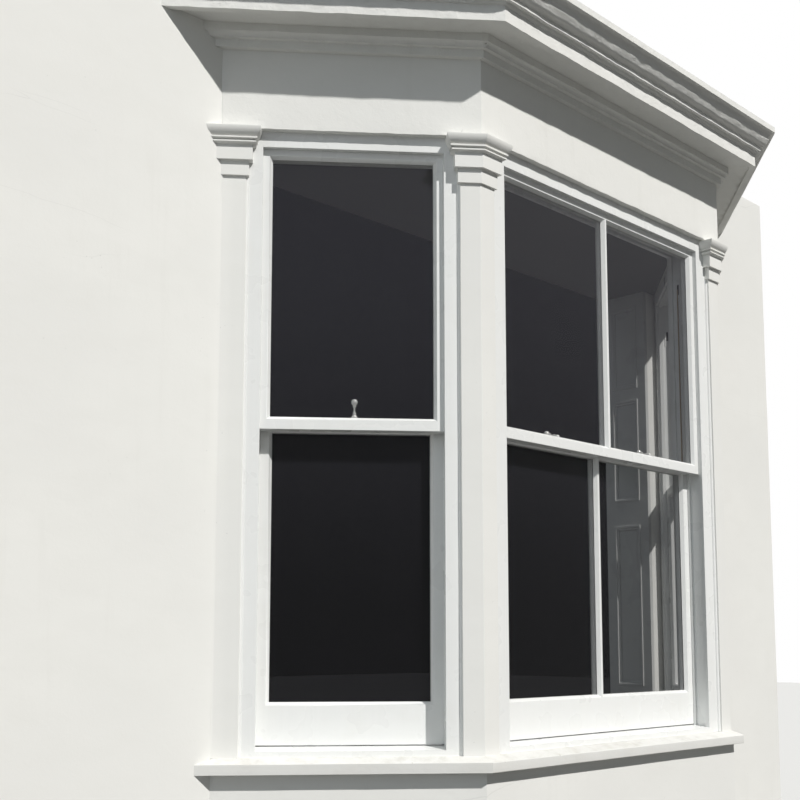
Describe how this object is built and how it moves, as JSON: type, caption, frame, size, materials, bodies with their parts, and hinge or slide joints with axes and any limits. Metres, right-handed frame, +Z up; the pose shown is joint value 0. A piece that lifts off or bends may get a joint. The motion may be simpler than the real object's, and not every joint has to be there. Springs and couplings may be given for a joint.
{
  "type": "bay window",
  "caption": "Ground-floor canted bay window: double-hung sashes between pilasters on a rendered base, plain frieze, run cornice and flat lead roof, with the wall beside it",
  "frame": {"origin": "middle of the whole box, at ground level", "axes": "+X along the house wall to the right as seen from the street, -Y towards the street, +Z up"},
  "size_m": [4.6478, 1.156, 4.082],
  "materials": {
    "painted_render": "white masonry paint on brick and render",
    "painted_stone": "white masonry paint on stone",
    "painted_joinery": "white gloss paint on softwood",
    "window_glass": "clear sheet glass",
    "deck_boards": "bare softwood boards",
    "floor_boards": "waxed softwood boards",
    "sheet_lead": "dull weathered sheet lead",
    "polished_metal": "polished",
    "plaster": "painted plaster"
  },
  "bodies": {
    "root": {"house_wall_left": "painted_render", "house_wall_right": "painted_render", "house_wall_over": "painted_render", "house_wall_below": "painted_render", "base_wall_left": "painted_render", "base_wall_front": "painted_render", "base_wall_right": "painted_render", "sill_left": "painted_stone", "sill_front": "painted_stone", "sill_right": "painted_stone", "wall_pilaster_left": "painted_render", "wall_pilaster_right": "painted_render", "angle_pilaster_left": "painted_render", "angle_pilaster_right": "painted_render", "wall_capital_left": "painted_render", "wall_capital_right": "painted_render", "angle_capital_left": "painted_render", "angle_capital_right": "painted_render", "frieze_left": "painted_render", "frieze_front": "painted_render", "frieze_right": "painted_render", "cornice_left": "painted_render", "cornice_front": "painted_render", "cornice_right": "painted_render", "roof_deck": "deck_boards", "lead_roof": "sheet_lead", "window_frame_left": "painted_joinery", "window_frame_front": "painted_joinery", "window_frame_right": "painted_joinery", "upper_sash_left": "painted_joinery", "upper_sash_front": "painted_joinery", "upper_sash_right": "painted_joinery", "lower_sash_left": "painted_joinery", "lower_sash_front": "painted_joinery", "lower_sash_right": "painted_joinery", "glass_left": "window_glass", "glass_front": "window_glass", "glass_right": "window_glass", "sash_fasteners": "polished_metal", "window_board": "painted_joinery", "jamb_lining_left": "painted_joinery", "jamb_lining_right": "painted_joinery", "opening_soffit": "painted_joinery", "ceiling_plaster": "plaster", "floor_boards": "floor_boards"}
  },
  "joints": []
}
